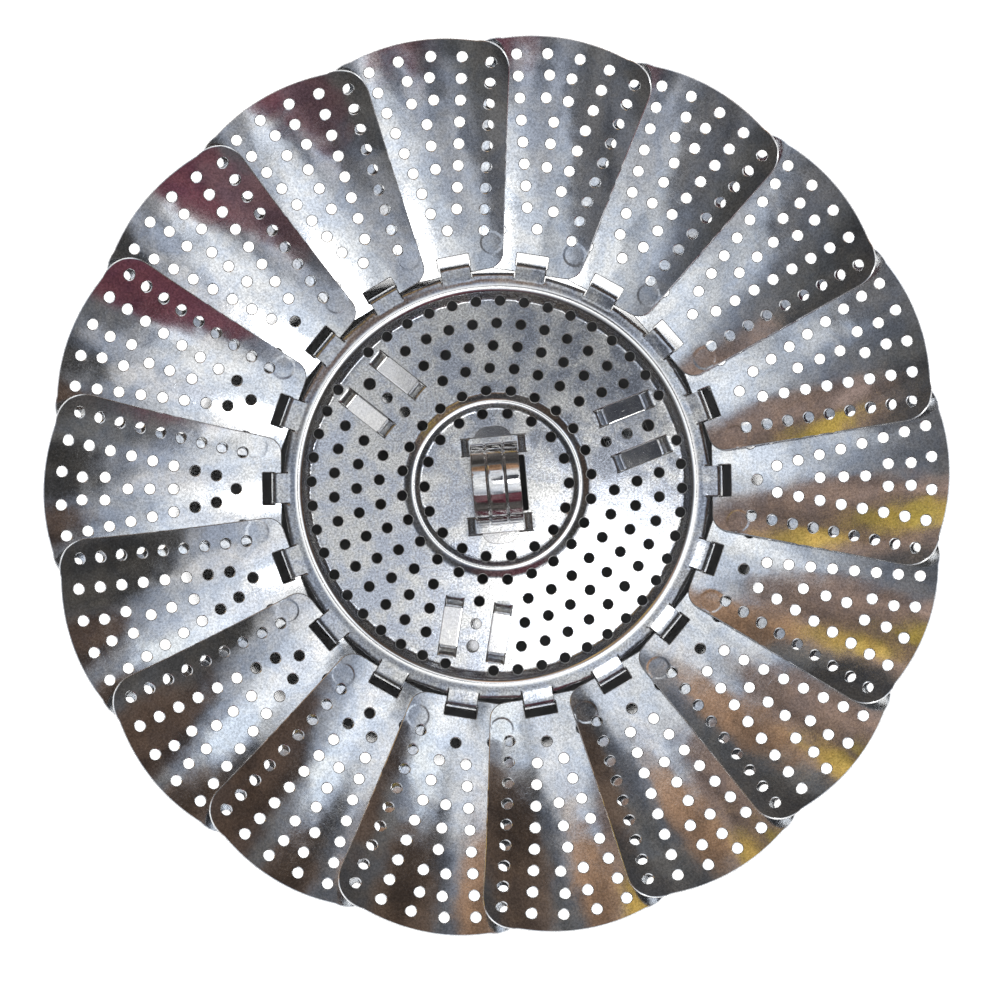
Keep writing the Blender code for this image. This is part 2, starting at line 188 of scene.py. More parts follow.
def sheet_mesh(name, outline, holes, inner, surface, thickness, apart, edge=EDGE):
    """A closed sheet: a flat outline with holes, cut into triangles and laid on surface(u, v)."""
    loops = [wound(outline, True)] + [wound(hole, False) for hole in holes]
    dots, edges, faces = [], [], []
    for loop in loops:
        order = list(range(len(dots), len(dots) + len(loop)))
        faces.append(order[::-1] if faces else order)
        dots += loop
    rim_count = len(dots)
    for loop in loops:
        first, count = len(dots), len(loop)
        dots += shifted(loop, edge)
        edges += [(first + i, first + (i + 1) % count) for i in range(count)]
    near = kdtree.KDTree(len(dots))
    for i, (u, v) in enumerate(dots):
        near.insert((u, v, 0), i)
    near.balance()
    dots += [d for d in inner if near.find((d[0], d[1], 0))[2] > apart]
    flat = [Vector((u / MM, v / MM)) for u, v in dots]
    cut = delaunay_2d_cdt(flat, edges, faces, INSIDE_TRIANGLES, CUT_TOLERANCE)
    places, _, triangles, sources, _, inside = cut
    kept = [t for t, among in zip(triangles, inside) if among == [0]]
    used = sorted({i for t in kept for i in t})
    number = {i: n for n, i in enumerate(used)}
    half = thickness / 2
    upper, lower, on_bevel = [], [], []
    for i in used:
        u, v = places[i][0] * MM, places[i][1] * MM
        here = surface(u, v)
        along = surface(u + STEP, v) - surface(u - STEP, v)
        across = surface(u, v + STEP) - surface(u, v - STEP)
        out = along.cross(across).normalized()
        on_rim = any(s < rim_count for s in sources[i])
        reach = half - edge * EDGE_SLOPE if on_rim else half
        on_bevel.append(1.0 if on_rim else 0.0)
        upper.append(here + out * reach)
        lower.append(here - out * reach)
    count = len(used)
    polygons, sides = [], {}
    for t in kept:
        a, b, c = (number[i] for i in t)
        if (places[t[1]] - places[t[0]]).cross(places[t[2]] - places[t[0]]) < 0:
            b, c = c, b
        polygons.append((a, b, c))
        polygons.append((c + count, b + count, a + count))
        for e in ((a, b), (b, c), (c, a)):
            sides[e] = True
    for a, b in sides:
        if (b, a) not in sides:
            polygons.append((a, a + count, b + count, b))
    mesh = bpy.data.meshes.new(name)
    mesh.from_pydata(upper + lower, [], polygons)
    mesh.attributes.new("on_bevel", "FLOAT", "POINT").data.foreach_set("value", on_bevel + on_bevel)
    mesh.validate()
    mesh.shade_smooth()
    mesh.set_sharp_from_angle(angle=SHARP_ANGLE)
    return mesh


# Section paths


class Path:
    """A dense path of (x, z) points, read by the distance along it."""

    def __init__(self, points):
        self.points = points
        self.lengths = [0.0]
        for a, b in zip(points, points[1:]):
            self.lengths.append(self.lengths[-1] + math.dist(a, b))
        self.length = self.lengths[-1]

    def at(self, s):
        i = min(max(bisect_right(self.lengths, s) - 1, 0), len(self.points) - 2)
        a, b = self.points[i], self.points[i + 1]
        share = (s - self.lengths[i]) / (self.lengths[i + 1] - self.lengths[i])
        return a[0] + (b[0] - a[0]) * share, a[1] + (b[1] - a[1]) * share


def arc(centre, radius, start, end, steps):
    angles = [start + (end - start) * i / steps for i in range(steps + 1)]
    return [(centre[0] + radius * math.cos(a), centre[1] + radius * math.sin(a)) for a in angles]


def softened(points, rounds=4):
    """Corner cutting, which leaves the ends where they are."""
    for _ in range(rounds):
        cut = [points[0]]
        for a, b in zip(points, points[1:]):
            for share in (CORNER_CUT, 1 - CORNER_CUT):
                cut.append((a[0] * (1 - share) + b[0] * share, a[1] * (1 - share) + b[1] * share))
        points = cut + [points[-1]]
    return points


def eased(x):
    x = min(max(x, 0.0), 1.0)
    return x * x * (3 - 2 * x)


def turned(angle, x=0, y=0, z=0, spin=0):
    return Matrix.Rotation(angle, 4, "Z") @ Matrix.Translation((x, y, z)) @ Matrix.Rotation(spin, 4, "Z")


def flat_place(matrix):
    """Turns (x, y) of a place into the plan."""

    def place(x, y):
        p = matrix @ Vector((x, y, 0))
        return (p.x, p.y)

    return place


# Materials: noise scales are in features per metre, and each range is of what the noise gives

SPECKLE_SCALE = 1500
SPECKLE_RANGE = (0.36, 0.64)
SPECKLE_HEIGHT = 0.006 * MM
STAIN_SCALE = 110
STAIN_COLOUR_RANGE = (0.4, 0.6)
STAIN_ROUGHNESS_RANGE = (0.3, 0.7)
ROUGHNESS_SHARES = (0.75, 1.3)
WAVE_SCALE = 48
SCRATCHES = ((0.5, 2600), (-0.9, 2200))
SCRATCH_LENGTH = 9
SCRATCH_RANGE = (1.25, 1.4)
SCRATCH_DEPTH = 0.6
SCRATCH_LIGHT = 0.2
# The bevels are paler and rougher, and the crests get a painted highlight: a paler colour and less roughness
BEVEL_AND_PAINTED_HIGHLIGHT_COLOUR = (0.96, 0.95, 0.93, 1.0)
BEVEL_ROUGHNESS = 0.3
CREST_ROUGHNESS = 0.6
CREST_FADE = (0.6, 1.4)


def nodes_of(name):
    made = bpy.data.materials.new(name)
    made.use_nodes = True
    tree = made.node_tree
    return made, tree, tree.nodes["Principled BSDF"]


def add(tree, kind, **values):
    node = tree.nodes.new(kind)
    for key, value in values.items():
        if hasattr(node, key):
            setattr(node, key, value)
        else:
            node.inputs[key].default_value = value
    return node


def noise(tree, vector, scale, detail=4.0, roughness=0.55, distortion=0.0):
    node = add(tree, "ShaderNodeTexNoise")
    node.inputs["Scale"].default_value = scale
    node.inputs["Detail"].default_value = detail
    node.inputs["Roughness"].default_value = roughness
    node.inputs["Distortion"].default_value = distortion
    tree.links.new(vector, node.inputs["Vector"])
    return node.outputs["Fac"]


def mapped(tree, value, low, high, to_low, to_high):
    node = add(tree, "ShaderNodeMapRange")
    for i, v in enumerate((low, high, to_low, to_high), start=1):
        node.inputs[i].default_value = v
    tree.links.new(value, node.inputs[0])
    return node.outputs[0]


def math_node(tree, operation, a, b):
    node = add(tree, "ShaderNodeMath", operation=operation)
    for i, value in enumerate((a, b)):
        if isinstance(value, (int, float)):
            node.inputs[i].default_value = value
        else:
            tree.links.new(value, node.inputs[i])
    return node.outputs[0]


def ramp(tree, value, stops):
    node = add(tree, "ShaderNodeValToRGB")
    bar = node.color_ramp
    while len(bar.elements) < len(stops):
        bar.elements.new(0.5)
    for element, (position, colour) in zip(bar.elements, stops):
        element.position = position
        element.color = (*colour, 1.0)
    tree.links.new(value, node.inputs["Fac"])
    return node.outputs["Color"]


def scratches(tree, vector, turn, scale):
    """Short fine lines that run one way."""
    node = add(tree, "ShaderNodeMapping")
    node.inputs["Rotation"].default_value = (0, 0, turn)
    node.inputs["Scale"].default_value = (scale, scale / SCRATCH_LENGTH, scale / SCRATCH_LENGTH)
    tree.links.new(vector, node.inputs["Vector"])
    return noise(tree, node.outputs["Vector"], 1.0, detail=2.0)


def bumped(tree, height, distance, normal=None):
    node = add(tree, "ShaderNodeBump")
    node.inputs["Strength"].default_value = 1.0
    node.inputs["Distance"].default_value = distance
    tree.links.new(height, node.inputs["Height"])
    if normal:
        tree.links.new(normal, node.inputs["Normal"])
    return node.outputs["Normal"]


def painted_highlight_share(tree, place, highlight_crests):
    """1 on the plate's crests, which get a painted highlight, each a radius and a half width, and 0
    elsewhere.
    """
    flat = add(tree, "ShaderNodeVectorMath", operation="MULTIPLY")
    tree.links.new(place, flat.inputs[0])
    flat.inputs[1].default_value = (1, 1, 0)
    reach = add(tree, "ShaderNodeVectorMath", operation="LENGTH")
    tree.links.new(flat.outputs[0], reach.inputs[0])
    total = 0.0
    for radius, half_band in highlight_crests:
        off = math_node(tree, "ABSOLUTE", math_node(tree, "SUBTRACT", reach.outputs["Value"], radius), 0)
        fade = [half_band * share for share in CREST_FADE]
        total = math_node(tree, "ADD", total, mapped(tree, off, *fade, 1.0, 0.0))
    return total


def steel(name, light, cool, roughness, wave, grain, contrast, highlight_crests=()):
    """Stainless steel: a fine speckle, cool stains, short scratches and a slightly uneven surface."""
    made, tree, shader = nodes_of(name)
    links = tree.links
    coords = add(tree, "ShaderNodeTexCoord").outputs["Object"]
    lone = add(tree, "ShaderNodeObjectInfo").outputs["Random"]
    shift = add(tree, "ShaderNodeVectorMath", operation="ADD")
    links.new(coords, shift.inputs[0])
    links.new(lone, shift.inputs[1])
    where = shift.outputs[0]
    speckle = noise(tree, where, SPECKLE_SCALE, roughness=0.75)
    stain = noise(tree, where, STAIN_SCALE, roughness=0.65, distortion=0.4)
    lines = [scratches(tree, where, turn, scale) for turn, scale in SCRATCHES]
    hair = mapped(tree, math_node(tree, "ADD", *lines), *SCRATCH_RANGE, 0.0, SCRATCH_DEPTH)
    stained = ramp(tree, stain, list(zip(STAIN_COLOUR_RANGE, (cool, light))))
    shade = mapped(tree, speckle, *SPECKLE_RANGE, 1 - contrast, 1 + contrast)
    mix = add(tree, "ShaderNodeMix", data_type="RGBA", blend_type="MULTIPLY")
    mix.inputs["Factor"].default_value = 1.0
    links.new(stained, mix.inputs["A"])
    streaks = math_node(tree, "MULTIPLY", hair, SCRATCH_LIGHT)
    links.new(math_node(tree, "ADD", shade, streaks), mix.inputs["B"])
    smoothest, roughest = (roughness * share for share in ROUGHNESS_SHARES)
    base = mapped(tree, stain, *STAIN_ROUGHNESS_RANGE, smoothest, roughest)
    rough = math_node(tree, "ADD", base, math_node(tree, "MULTIPLY", speckle, grain))
    # The bevels round the sheets' edges are paler and rougher
    edge = add(tree, "ShaderNodeAttribute", attribute_name="on_bevel").outputs["Fac"]
    bevels_and_highlight = edge
    # A painted highlight on the crests: a paler colour, mixed in together with the bevels' below, and less
    # roughness
    if highlight_crests:
        highlight_crest = painted_highlight_share(tree, coords, highlight_crests)
        rough = math_node(tree, "MULTIPLY", rough, mapped(tree, highlight_crest, 0.0, 1.0, 1.0, CREST_ROUGHNESS))
        bevels_and_highlight = math_node(tree, "MAXIMUM", edge, highlight_crest)
    bevel_and_highlight_mix = add(tree, "ShaderNodeMix", data_type="RGBA")
    links.new(bevels_and_highlight, bevel_and_highlight_mix.inputs["Factor"])
    links.new(mix.outputs["Result"], bevel_and_highlight_mix.inputs["A"])
    bevel_and_highlight_mix.inputs["B"].default_value = BEVEL_AND_PAINTED_HIGHLIGHT_COLOUR
    links.new(bevel_and_highlight_mix.outputs["Result"], shader.inputs["Base Color"])
    duller = mapped(tree, edge, 0.0, 1.0, 0.0, BEVEL_ROUGHNESS)
    links.new(math_node(tree, "ADD", rough, duller), shader.inputs["Roughness"])
    shader.inputs["Metallic"].default_value = 1.0
    uneven = bumped(tree, noise(tree, where, WAVE_SCALE, detail=2.0, roughness=0.5), wave)
    grained = math_node(tree, "ADD", speckle, hair)
    links.new(bumped(tree, grained, SPECKLE_HEIGHT, uneven), shader.inputs["Normal"])
    return made


# Petals, in their own frame: the hinge axis is Y, X runs outwards and Z up

PETAL_SPACING = 2.6 * MM
PETAL_APART = 0.75 * MM
PETAL_EDGE = 0.24 * MM
SLOT_CORNER_RADIUS = 0.35 * MM
SLOT_SPACING = 1.2 * MM
ROOT_STEPS = 8
TIP_STEPS = 12
CORNER_STEPS = 8
JOGGLE_RINGS = range(-1, 5)
JOGGLE_RINGS_PER_FLANK = 3
JOGGLE_SIDES = 32
JOGGLE_TURN = 0.1


def half_width(along):
    return ROOT_HALF_WIDTH + (TIP_HALF_WIDTH - ROOT_HALF_WIDTH) * along / PETAL_LENGTH


def petal_point(along, across):
    lean = ROOT_SLOPE + PETAL_BEND * along
    x = (math.sin(lean) - math.sin(ROOT_SLOPE)) / PETAL_BEND
    z = (math.cos(ROOT_SLOPE) - math.cos(lean)) / PETAL_BEND
    roll = ROOT_ROLL + (TIP_ROLL - ROOT_ROLL) * along / PETAL_LENGTH
    rise = across**2 / (2 * CUP_RADIUS) - roll * across
    from_joggle = math.dist((along, across), JOGGLE_PLACE)
    rise += JOGGLE_RISE * eased((JOGGLE_RADIUS + JOGGLE_FLANK - from_joggle) / JOGGLE_FLANK)
    return Vector((x - rise * math.sin(lean), across, z + rise * math.cos(lean)))


def petal_outline():
    root_half = half_width(-BAR_WIDTH / 2)
    root, tip = [], []
    inner = root_half - ROOT_CORNER_RADIUS
    for i in range(ROOT_STEPS + 1):
        across = inner * i / ROOT_STEPS
        root.append((-BAR_WIDTH / 2, across / root_half))
    for i in range(1, CORNER_STEPS + 1):
        a = math.pi / 2 * i / CORNER_STEPS
        across = inner + ROOT_CORNER_RADIUS * math.sin(a)
        drop = ROOT_CORNER_RADIUS * (1 - math.cos(a))
        root.append((drop - BAR_WIDTH / 2, across / root_half))
    inner = TIP_HALF_WIDTH - TIP_CORNER_RADIUS
    for i in range(TIP_STEPS + 1):
        across = inner * i / TIP_STEPS
        tip.append((PETAL_LENGTH - across**2 / (2 * TIP_ARC_RADIUS), across / TIP_HALF_WIDTH))
    flat_end = tip[-1][0]
    for i in range(1, 2 * CORNER_STEPS + 1):
        a = math.pi / 4 * i / CORNER_STEPS
        across = inner + TIP_CORNER_RADIUS * math.sin(a)
        tip.append((flat_end - TIP_CORNER_RADIUS * (1 - math.cos(a)), across / TIP_HALF_WIDTH))
    side = root + tip[::-1]
    half = [(along, half_width(along) * share) for along, share in side]
    return half + [(along, -across) for along, across in reversed(half[1:-1])]


def petal_hole_places():
    for (start_along, start_across), (end_along, end_across), count in (EDGE_ROW, INNER_ROW):
        for i in range(count):
            share = i / (count - 1)
            along = start_along + (end_along - start_along) * share
            across = start_across + (end_across - start_across) * share
            yield along, across
            yield along, -across
    for along in MIDDLE_HOLES:
        yield along, 0
    for along, across in PAIRED_HOLES:
        yield along, across
        yield along, -across


def petal_mesh():
    outline = divided(petal_outline(), PETAL_SPACING)
    holes = [ring_points(place, HOLE_RADIUS, HOLE_SIDES) for place in petal_hole_places()]
    middle = BAR_WIDTH / 2 + SLOT_LENGTH / 2
    slot = rounded_box(
        SLOT_LENGTH / 2, SLOT_WIDTH / 2, SLOT_CORNER_RADIUS, lambda x, y: (middle + x, y), steps=2
    )
    holes.append(divided(slot, SLOT_SPACING))
    inner = []
    rows = round(PETAL_LENGTH / PETAL_SPACING)
    for i in range(rows + 1):
        along = PETAL_LENGTH * i / rows
        columns = round(2 * half_width(along) / PETAL_SPACING)
        offset = 0.5 * (i % 2)
        inner += [(along, half_width(along) * (2 * (j + offset) / columns - 1)) for j in range(columns)]
    for i in JOGGLE_RINGS:
        radius = JOGGLE_RADIUS + JOGGLE_FLANK * i / JOGGLE_RINGS_PER_FLANK
        inner += ring_points(JOGGLE_PLACE, radius, JOGGLE_SIDES, JOGGLE_TURN * (i % 2))
    return sheet_mesh("petal", outline, holes, inner, petal_point, SHEET, PETAL_APART, PETAL_EDGE)


# Base plate

BEAD_HALF_TOP = 0.33 * MM
RING_SECTION = softened(
    [
        (0, 0),
        (BEAD_RADIUS - BEAD_INNER_FLANK - 0.6 * MM, 0),
        (BEAD_RADIUS - BEAD_INNER_FLANK, 0),
        (BEAD_RADIUS - BEAD_INNER_FLANK + 0.4 * MM, 0.2 * MM),
        (BEAD_RADIUS - 0.75 * MM, BEAD_RISE * 0.85),
        (BEAD_RADIUS - BEAD_HALF_TOP, BEAD_RISE),
        (BEAD_RADIUS + BEAD_HALF_TOP, BEAD_RISE),
        (BEAD_RADIUS + 0.85 * MM, BEAD_RISE * 0.85),
        (BEAD_RADIUS + BEAD_OUTER_FLANK - 0.5 * MM, 0.2 * MM),
        (BEAD_RADIUS + BEAD_OUTER_FLANK, 0),
        (BEAD_RADIUS + BEAD_OUTER_FLANK + 0.8 * MM, 0),
        (DISC_RADIUS - 0.5 * MM, 0),
        (DISC_RADIUS, 0),
        (DISC_RADIUS + 0.3 * MM, 0.25 * MM),
        (DISC_RADIUS + 0.26 * RIM_WIDTH, 0.78 * RIM_RISE),
        (DISC_RADIUS + 0.36 * RIM_WIDTH, 0.97 * RIM_RISE),
        (DISC_RADIUS + 0.48 * RIM_WIDTH, 1.02 * RIM_RISE),
        (DISC_RADIUS + 0.62 * RIM_WIDTH, 0.97 * RIM_RISE),
        (DISC_RADIUS + 0.8 * RIM_WIDTH, TAB_RISE),
    ]
)
JUNCTION = RING_SECTION[-1][0]
SECTION_RADII = [p[0] for p in RING_SECTION]

# The tab's section, from the rim over the hinge bar, and its cut end
TAB_LEAD = 3 * MM
HOOK_STEPS = 40
TAB_PATH = Path(
    [(JUNCTION - TAB_LEAD, TAB_RISE), (HINGE_RADIUS, TAB_RISE)]
    + arc((HINGE_RADIUS, TAB_RISE - HOOK_RADIUS), HOOK_RADIUS, math.pi / 2, HOOK_END, HOOK_STEPS)[1:]
)
TAB_END = JUNCTION - TAB_LEAD + TAB_PATH.length
TAB_CORNER = 0.8 * MM
TAB_CORNER_SHARE = 0.3

# Where the round rim passes into a tab, and the slits beside the tab
TABS_FROM = JUNCTION - 3.2 * MM
TAB_FADE_FROM = JUNCTION - 1.5 * MM
TAB_FADE = 2.5 * MM
SLIT = 0.3 * MM
SLIT_START = JUNCTION + 0.4 * MM
SLIT_POINT = 0.1 * MM

# The rim's edge between the tabs, which falls outwards and turns down at its end
RIM_END = DISC_RADIUS + RIM_WIDTH + 0.6 * MM
FALL = math.radians(8.4)
CURL_RADIUS = 1.0 * MM
CURL_WIDTH = 0.2 * MM
CURL_BEND = math.radians(50)
CURL_END = 0.85 * MM
CURL_GROWTH = 1.4
RIM_PARTS = 10

# Fineness of the plate's mesh: rings are (first radius, last radius, step, spacing)
PLATE_RINGS = (
    (1.5 * MM, 22.5 * MM, 3 * MM, 3 * MM),
    (BEAD_RADIUS - 2.8 * MM, BEAD_RADIUS + 3.8 * MM, 0.33 * MM, 1.1 * MM),
    (33 * MM, 57.2 * MM, 3 * MM, 3 * MM),
    (DISC_RADIUS - 0.6 * MM, RIM_END + 0.8 * MM, 0.42 * MM, 1.3 * MM),
)
FEWEST_ON_A_RING = 6
PLATE_SPACING = 0.9 * MM
PLATE_APART = 0.3 * MM
PLATE_EDGE = 0.16 * MM
SIDE_CUT_CORNER_RADIUS = 0.08 * MM
SIDE_CUT_SPACING = 0.7 * MM
WINDOW_CORNER_RADIUS = 0.6 * MM
WINDOW_SPACING = 1.0 * MM
TAB_ROW_STEP = 0.45 * MM
TAB_COLUMNS = (-3 * MM, -1.5 * MM, 0, 1.5 * MM, 3 * MM)
STRIP_ROWS = 8
STRIP_COLUMNS = (-1.8 * MM, -0.6 * MM, 0.6 * MM, 1.8 * MM)


def ring_height(radius):
    if radius >= JUNCTION:
        return RING_SECTION[-1][1] - (radius - JUNCTION) * math.tan(FALL)
    i = max(1, bisect_right(SECTION_RADII, radius))
    a, b = RING_SECTION[i - 1], RING_SECTION[i]
    return a[1] + (b[1] - a[1]) * (radius - a[0]) / (b[0] - a[0])


def strip_places():
    quarter = math.pi / 2
    strips = []
    for side in (-1, 1):
        strips.append((turned(HANDLE_ANGLE, side * BRIDGE_OFFSET, 0, 0, quarter), BRIDGE_LENGTH, LANCED_RISE))
    for i in range(LEGS):
        angle = LEG_START + 2 * math.pi * i / LEGS
        for side in (-1, 1):
            strips.append((turned(angle, LEG_RADIUS, side * LOOP_OFFSET), LOOP_LENGTH, -LANCED_RISE))
    return [(place, place.inverted(), length, rise) for place, length, rise in strips]


STRIPS = strip_places()


def strip_lift(u, v):
    dot = Vector((u, v, 0))
    for _, inverse, length, rise in STRIPS:
        p = inverse @ dot
        if abs(p.y) < (LANCED_WIDTH + LANCED_SIDE_CUT) / 2 and abs(p.x) < length / 2:
            return rise * eased((length / 2 - abs(p.x)) / LANCED_SLOPE_RUN)
    return 0.0


def plate_point(u, v):
    radius, angle = math.hypot(u, v), math.atan2(v, u)
    if radius < TABS_FROM:
        return Vector((u, v, ring_height(radius) + strip_lift(u, v)))
    k = round((angle - PETAL_START) / PITCH)
    tab_angle = PETAL_START + PITCH * k
    c, s = math.cos(tab_angle), math.sin(tab_angle)
    x, y = u * c + v * s, v * c - u * s
    if abs(y) < (TAB_WIDTH + SLIT) / 2 and radius > TAB_FADE_FROM:
        share = eased((radius - TAB_FADE_FROM) / TAB_FADE)
        r, z = TAB_PATH.at(x - JUNCTION + TAB_LEAD)
        tab = Vector((r * c - y * s, r * s + y * c, z))
        if share >= 1:
            return tab
        return tab * share + Vector((u, v, ring_height(radius))) * (1 - share)
    gap = HINGE_RADIUS * math.tan(PITCH / 2) - TAB_WIDTH / 2
    from_tab = (abs(y) - TAB_WIDTH / 2) / gap
    start = RIM_END - CURL_END - CURL_WIDTH * eased(CURL_GROWTH * from_tab)
    if radius <= start:
        return Vector((u, v, ring_height(radius)))
    bend = min((radius - start) / CURL_RADIUS, CURL_BEND)
    rest = radius - start - bend * CURL_RADIUS
    fall = FALL + bend
    r = start + CURL_RADIUS * (math.sin(fall) - math.sin(FALL)) + rest * math.cos(fall)
    z = ring_height(start) - CURL_RADIUS * (math.cos(FALL) - math.cos(fall)) - rest * math.sin(fall)
    return Vector((r * math.cos(angle), r * math.sin(angle), z))


def plate_outline():
    out = []
    half = TAB_WIDTH / 2
    corner_cut = TAB_CORNER * TAB_CORNER_SHARE
    edge = half + SLIT
    rim = math.sqrt(RIM_END**2 - edge**2)
    beside = math.asin(edge / RIM_END)
    side = [(rim, -edge), (SLIT_START, -edge), (SLIT_START - SLIT_POINT, -half - SLIT / 2)]
    side += [(SLIT_START, -half), (TAB_END - TAB_CORNER, -half), (TAB_END - corner_cut, -half + corner_cut)]
    side += [(TAB_END, -half + TAB_CORNER)]
    for k in range(PETALS):
        angle = PETAL_START + PITCH * k
        place = flat_place(turned(angle))
        out += [place(x, y) for x, y in side] + [place(x, -y) for x, y in reversed(side)]
        for i in range(1, RIM_PARTS):
            turn = angle + beside + (PITCH - 2 * beside) * i / RIM_PARTS
            out.append((RIM_END * math.cos(turn), RIM_END * math.sin(turn)))
    return divided(out, PLATE_SPACING)


def on_a_loop(radius, angle):
    across = abs(abs(radius * math.sin(angle)) - LOOP_OFFSET)
    along = abs(radius * math.cos(angle) - LEG_RADIUS)
    beside = LANCED_WIDTH / 2 + HOLE_RADIUS
    return across < beside and along < LOOP_LENGTH / 2 + HOLE_RADIUS / 2


def disc_holes():
    sector = 2 * math.pi / LEGS
    for ring in range(RINGS):
        radius = FIRST_RING_RADIUS + RING_STEP * ring
        count = FIRST_RING_HOLES + HOLES_MORE_PER_RING * ring
        for i in range(count):
            angle = 2 * math.pi * i / count
            from_leg = (angle + sector / 2) % sector - sector / 2
            on_middle = abs(from_leg) < math.pi / count
            if on_a_loop(radius, from_leg) or (on_middle and ring == RINGS - 1):
                continue
            size = LARGE_HOLE_RADIUS if on_middle and ring == RINGS - 2 else HOLE_RADIUS
            turn = LEG_START + angle
            yield (radius * math.cos(turn), radius * math.sin(turn)), size


def plate_mesh():
    holes = [ring_points(place, size, HOLE_SIDES) for place, size in disc_holes()]
    for place, _, length, _ in STRIPS:
        flat = flat_place(place)
        for side in (-1, 1):
            middle = side * (LANCED_WIDTH + LANCED_SIDE_CUT) / 2
            slit = rounded_box(
                length / 2,
                LANCED_SIDE_CUT / 2,
                SIDE_CUT_CORNER_RADIUS,
                lambda x, y, m=middle, f=flat: f(x, y + m),
                steps=1,
            )
            holes.append(divided(slit, SIDE_CUT_SPACING))
    length = BRIDGE_OFFSET - LANCED_WIDTH / 2 - LANCED_SIDE_CUT - WINDOW_WEB
    width = STRAP_WIDTH / 2 + WINDOW_MARGIN
    window_place = flat_place(turned(HANDLE_ANGLE, 0, -WINDOW_SHIFT))
    window = rounded_box(length, width, WINDOW_CORNER_RADIUS, window_place, steps=3)
    holes.append(divided(window, WINDOW_SPACING))
    inner = []
    for start, end, step, spacing in PLATE_RINGS:
        count = max(1, round((end - start) / step))
        for i in range(count + 1):
            radius = start + (end - start) * i / count
            dots = max(FEWEST_ON_A_RING, round(2 * math.pi * radius / spacing))
            inner += ring_points((0, 0), radius, dots, (i % 2) * math.pi / dots)
    for k in range(PETALS):
        flat = flat_place(turned(PETAL_START + PITCH * k))
        rows = round((TAB_END - JUNCTION) / TAB_ROW_STEP)
        for i in range(rows):
            x = JUNCTION + (TAB_END - JUNCTION) * i / rows
            inner += [flat(x, y) for y in TAB_COLUMNS]
    for place, _, length, _ in STRIPS:
        flat = flat_place(place)
        for i in range(STRIP_ROWS + 1):
            x = length / 2 - LANCED_SLOPE_RUN * i / STRIP_ROWS
            inner += [flat(side * x, y) for y in STRIP_COLUMNS for side in (-1, 1)]
    return sheet_mesh("plate", plate_outline(), holes, inner, plate_point, SHEET, PLATE_APART, PLATE_EDGE)


# Straps, in their own frame: the path runs along X and Z, and the width along Y

BEND_STEPS = 16
HANDLE_RING_STEPS = 60
TONGUE_CORNER_RADIUS = 4.6 * MM
TONGUE_CORNER_STEPS = 8
SHOULDER_LEAD = 0.5 * MM
SHOULDER = 0.9 * MM
SHOULDER_STEPS = 4
STRAP_SPACING = 0.8 * MM
STRAP_ROW_STEP = 0.6 * MM
STRAP_APART = 0.25 * MM
SLOPE_STEP = 0.1 * MM

# The handle's ribs: the groove's place and width are shares of the strap's half width
GROOVE_PLACE = 0.37
GROOVE_WIDTH = 0.036
GROOVE_DEPTH = 0.8
RIB_CROWN = 0.3
RIB_FADE_FROM = 1.0 * MM
RIB_FADE = 2.5 * MM
GROOVE_COLUMN = 2.57
RIBBED_COLUMNS = [k * 0.55 for k in range(-13, 14)]
RIBBED_COLUMNS += [side * (GROOVE_COLUMN + d) for side in (-1, 1) for d in (-0.3, -0.15, 0, 0.15, 0.3)]
PLAIN_COLUMNS = [k * 1.6 for k in range(-4, 5)]


def handle_path():
    bend_x = BRIDGE_OFFSET - LANCED_WIDTH / 2 - GAP
    lean = math.acos(bend_x / (HANDLE_RADIUS + STRAP_BEND_RADIUS))
    bend_centre = (-bend_x, TONGUE_RISE + STRAP_BEND_RADIUS)
    ring_centre = (0, bend_centre[1] + (HANDLE_RADIUS + STRAP_BEND_RADIUS) * math.sin(lean))
    end = -BRIDGE_OFFSET - LANCED_WIDTH / 2 - TONGUE_END_LENGTH
    half = [(end, TONGUE_RISE)] + arc(bend_centre, STRAP_BEND_RADIUS, -math.pi / 2, lean, BEND_STEPS)
    half += arc(ring_centre, HANDLE_RADIUS, math.pi + lean, math.pi / 2, HANDLE_RING_STEPS)[1:]
    return Path(half + [(-x, z) for x, z in reversed(half[:-1])]), -bend_x - end


def leg_path():
    bend_x = LOOP_OFFSET - LANCED_WIDTH / 2 - GAP
    bend_centre = (-bend_x, TONGUE_RISE + STRAP_BEND_RADIUS)
    bend = arc(bend_centre, STRAP_BEND_RADIUS, -math.pi / 2, LEG_FLARE, BEND_STEPS)
    foot = PLATE_HEIGHT - STRAP / 2
    corner_z = foot - FOOT_CORNER_RADIUS
    arm_x = bend[-1][0] - (corner_z - bend[-1][1]) * math.tan(LEG_FLARE)
    corner = (arm_x + FOOT_CORNER_RADIUS / math.cos(LEG_FLARE), corner_z)
    heel = arc(corner, FOOT_CORNER_RADIUS, math.pi + LEG_FLARE, math.pi / 2, BEND_STEPS)
    end = -LOOP_OFFSET - LANCED_WIDTH / 2 - TONGUE_END_LENGTH
    half = [(end, TONGUE_RISE)] + bend + heel
    half = [(x, -z) for x, z in half]
    return Path(half + [(-x, z) for x, z in reversed(half)]), -bend_x - end


def rib_rise(across):
    """The ribbed strap's section: three bands with a narrow groove between each two."""
    share = abs(across) / (STRAP_WIDTH / 2)
    groove = math.exp(-(((share - GROOVE_PLACE) / GROOVE_WIDTH) ** 2))
    return RIB_HEIGHT * (1.0 - RIB_CROWN * share**2 - GROOVE_DEPTH * groove)


